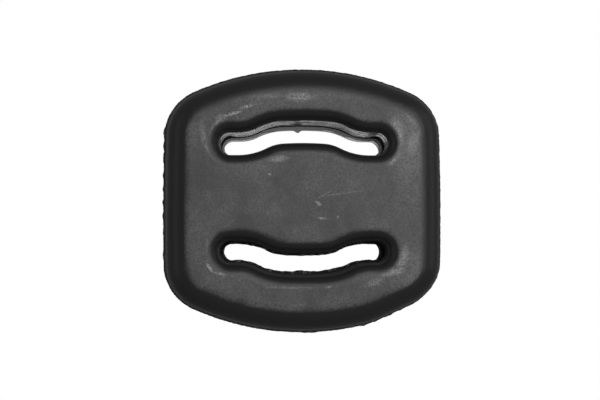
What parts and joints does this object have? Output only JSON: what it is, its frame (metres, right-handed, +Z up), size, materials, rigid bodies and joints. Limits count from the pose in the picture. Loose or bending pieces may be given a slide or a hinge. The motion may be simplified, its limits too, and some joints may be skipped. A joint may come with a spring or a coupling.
{
  "type": "exhaust hanger",
  "caption": "Barrel-shaped black rubber block pierced by mirrored curved slots, which hangs an exhaust pipe's pin from a pin under the car.",
  "frame": {"origin": "middle of the block, halfway between its flat faces and halfway between its two slots", "axes": "+Z up as the block hangs, towards the slot that the car's pin passes through; +Y through the thickness, along both slots, with the front face at -Y; +X across the block"},
  "size_m": [0.0736, 0.028, 0.0698],
  "materials": {
    "black_rubber": "compression moulded, matt black with a grey bloom on the flat faces"
  },
  "bodies": {
    "root": {"hanger_body": "black_rubber"}
  },
  "joints": []
}
